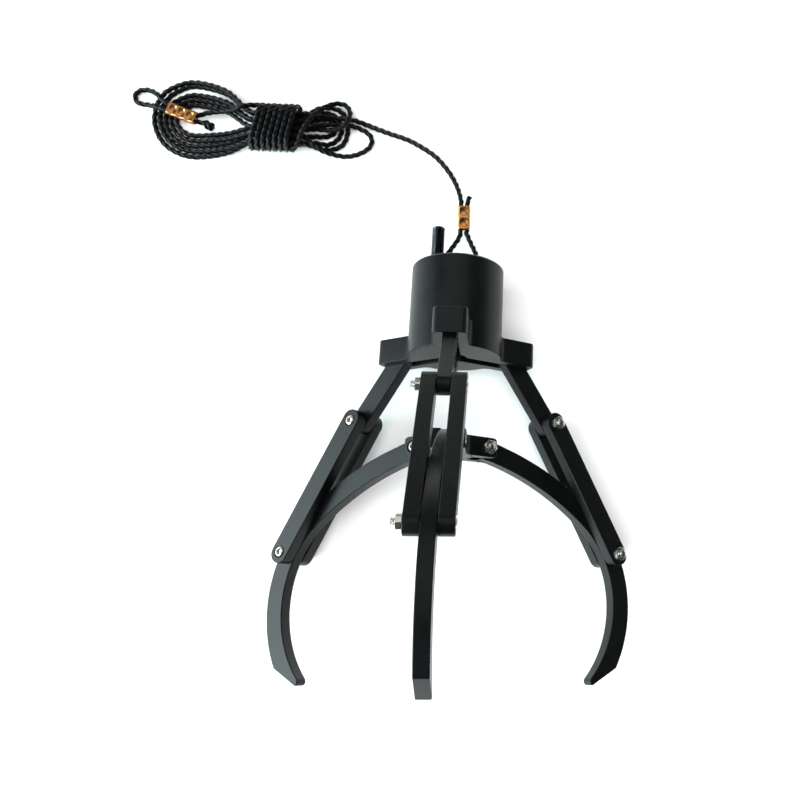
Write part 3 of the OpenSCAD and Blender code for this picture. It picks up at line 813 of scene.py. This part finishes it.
# %% Mounting stud
STUD_X, STUD_Y, CAP_TOP = -9.672, -4.026, 68.7
STUD_R, STUD_IN, STUD_OUT, STUD_END, RUN_OUT = 3, 11, 18.8, 0.5, 0.6
stud = np.concatenate(
    [
        rings(STUD_R - STUD_END, [-STUD_IN]),
        rings(STUD_R, [-STUD_IN + STUD_END, 0]),
        rings(STUD_R - STUD_END, [0, RUN_OUT]),
        threaded(STUD_R, RUN_OUT, STUD_OUT - STUD_END, 1.0, 8),
        rings(STUD_R - STUD_END, [STUD_OUT]),
    ]
)
stud_place = [STUD_X, STUD_Y, CAP_TOP]
mesh_piece(
    "threaded_stud", skin([laid(stud + stud_place)]), "body", black_oxide,
    "mount_stud",
)
print("stud, mm:", 2 * STUD_R, "wide,", STUD_OUT, "out of the cap")

# %% [markdown]
# ## Crimps
#
# Each crimp is a short copper tube, flattened into a double sleeve and pressed with a tool that
# leaves two round dents in its broad side. Its section is a flat bar with half-round sides, and
# the dents push the broad faces in by a bell curve round each dent's middle.


# %% Pressed sleeves
RIM_IN = [0.45, 0.12, 0, 0.1, 0.35]
RIM_SHARE = [0.72, 0.76, 0.86, 0.96, 1]
BODY_IN, FLAT_X, FLAT_Z, DENT_FROM = 0.7, 1.6, 1.25, 0.6


def sleeve(width, height, length, dents, dent_size, depth):
    """A pressed sleeve along its local y axis. The section runs round a stadium, from a cosine and
    a sine that are stretched and cut off at 1. Each end has a rounded rim and a shallow mouth, and
    the broad faces sink at the dents, by the depth times e to the minus r to the fourth, where r
    is the distance in dent sizes."""
    columns, rows, half, reach = 64, 40, height / 2, (width - height) / 2
    turn = np.arange(columns) / columns * math.tau
    x = np.clip(np.cos(turn) * FLAT_X, -1, 1) * reach + half * np.cos(turn)
    z = half * np.clip(np.sin(turn) * FLAT_Z, -1, 1)
    along = np.concatenate([RIM_IN, np.linspace(BODY_IN, length - BODY_IN, rows)])
    along = np.concatenate([along, length - np.array(RIM_IN)[::-1]]) - length / 2
    grow = np.concatenate([RIM_SHARE, np.ones(rows), RIM_SHARE[::-1]])
    grid = np.stack([grow[:, None] * x, along[:, None] + 0 * x, grow[:, None] * z], -1)
    wide, long = dent_size
    sink = sum(
        np.exp(-(((grid[..., 0] / wide) ** 2 + ((grid[..., 1] - at) / long) ** 2) ** 2))
        for at in dents
    )
    pressed = np.abs(grid[..., 2]) > DENT_FROM * half
    grid[..., 2] -= np.sign(grid[..., 2]) * depth * sink * pressed
    return grid[::-1]


CRIMP_AT = np.array([1.1, 110.4, 6])
CRIMP_W, CRIMP_H, CORD_CRIMP_LEN = 6.1, 3.9, 11.4
cord_sleeve = sleeve(CRIMP_W, CRIMP_H, CORD_CRIMP_LEN, (-2.7, 2.7), (1.9, 1.9), 0.55)
mesh_piece(
    "cord_sleeve", skin([cord_sleeve + CRIMP_AT]), "body", copper, "cord_crimp", 50
)
end_sleeve = sleeve(CRIMP_W, CRIMP_H, CRIMP_LEN, (-4.2, 0, 4.2), (2.4, 1.4), 0.5)
x, y, z = np.moveaxis(end_sleeve, -1, 0)
end_sleeve = crimp_mid + np.stack(
    [y * crimp_along[0] + x * crimp_across[0], y * crimp_along[1] + x * crimp_across[1], z], -1
)
mesh_piece("end_sleeve", skin([end_sleeve[::-1]]), "body", copper, "end_crimp", 50)
print("sleeves, mm long:", CORD_CRIMP_LEN, "and", CRIMP_LEN)

# %% [markdown]

# %% Metal on the CAD nodes that stay
FINISH = {
    "stop_washer": zinc, "guide_bush": brass, "stud_nut": black_oxide,
    "cap_grub_screw": black_oxide,
}
for node, material in FINISH.items():
    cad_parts[node].data.materials.clear()
    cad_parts[node].data.materials.append(material)
print("CAD nodes kept:", *FINISH)

# %% [markdown]
# ## Floor and light
#
# The tool lies on a white table. Black plastic shows its form by what it mirrors, so a large cool
# window stands low on the left and puts its sheen on every face that looks that way. A weak card
# hangs beyond the body, and a wide light from above fills the table evenly. That one isn't
# mirrored, or every face that looks up would turn grey. The room gives little light for the same
# reason, though behind the table it is seen as a pale wall.


# %% Floor and light
def plain(name, colour, rough):
    """A flat finish for what isn't part of the tool."""
    made = bpy.data.materials.new(name)
    made.use_nodes = True
    shader = made.node_tree.nodes["Principled BSDF"]
    shader.inputs["Base Color"].default_value = linear(colour)
    shader.inputs["Roughness"].default_value = rough
    return made


FLOOR = 1.7
floor_mesh = bpy.data.meshes.new("floor")
floor_corners = [(-FLOOR, -FLOOR, 0), (FLOOR, -FLOOR, 0), (FLOOR, FLOOR, 0), (-FLOOR, FLOOR, 0)]
floor_mesh.from_pydata(floor_corners, [], [(0, 1, 2, 3)])
floor = bpy.data.objects.new("floor", floor_mesh)
bpy.context.scene.collection.objects.link(floor)
floor_mesh.materials.append(plain("white_table", "#f7f7f6", 0.8))

world = bpy.data.worlds.new("studio")
bpy.context.scene.world = world
world.use_nodes = True
backdrop = world.node_tree.nodes["Background"]
backdrop.inputs["Color"].default_value = linear("#f3f6fa")
seen = add(world.node_tree, "ShaderNodeLightPath").outputs["Is Camera Ray"]
room = add(world.node_tree, "ShaderNodeMapRange", Value=seen, To_Min=0.04, To_Max=1.0)
world.node_tree.links.new(room.outputs[0], backdrop.inputs["Strength"])
bpy.context.scene.view_settings.view_transform = "Standard"


def area_light(name, place, width, height, watts, colour):
    """A soft light of a width and height in metres that faces the tool."""
    data = bpy.data.lights.new(name, "AREA")
    data.shape, data.size, data.size_y = "RECTANGLE", width, height
    data.energy, data.color = watts, linear(colour)[:3]
    made = bpy.data.objects.new(name, data)
    made.location = place
    made.rotation_euler = (-Vector(place)).to_track_quat("-Z", "Y").to_euler()
    bpy.context.scene.collection.objects.link(made)
    return made


area_light("left_window", (-1.85, -0.4, 0.8), 1.9, 1.1, 122, "#dcf0f2")
area_light("ceiling_card", (0, 1.1, 1.7), 2.0, 1.6, 10, "#ffffff")
table_fill = area_light("table_fill", (0.0, 0.0, 1.8), 2.0, 2.0, 46, "#ffffff")
table_fill.visible_glossy = False
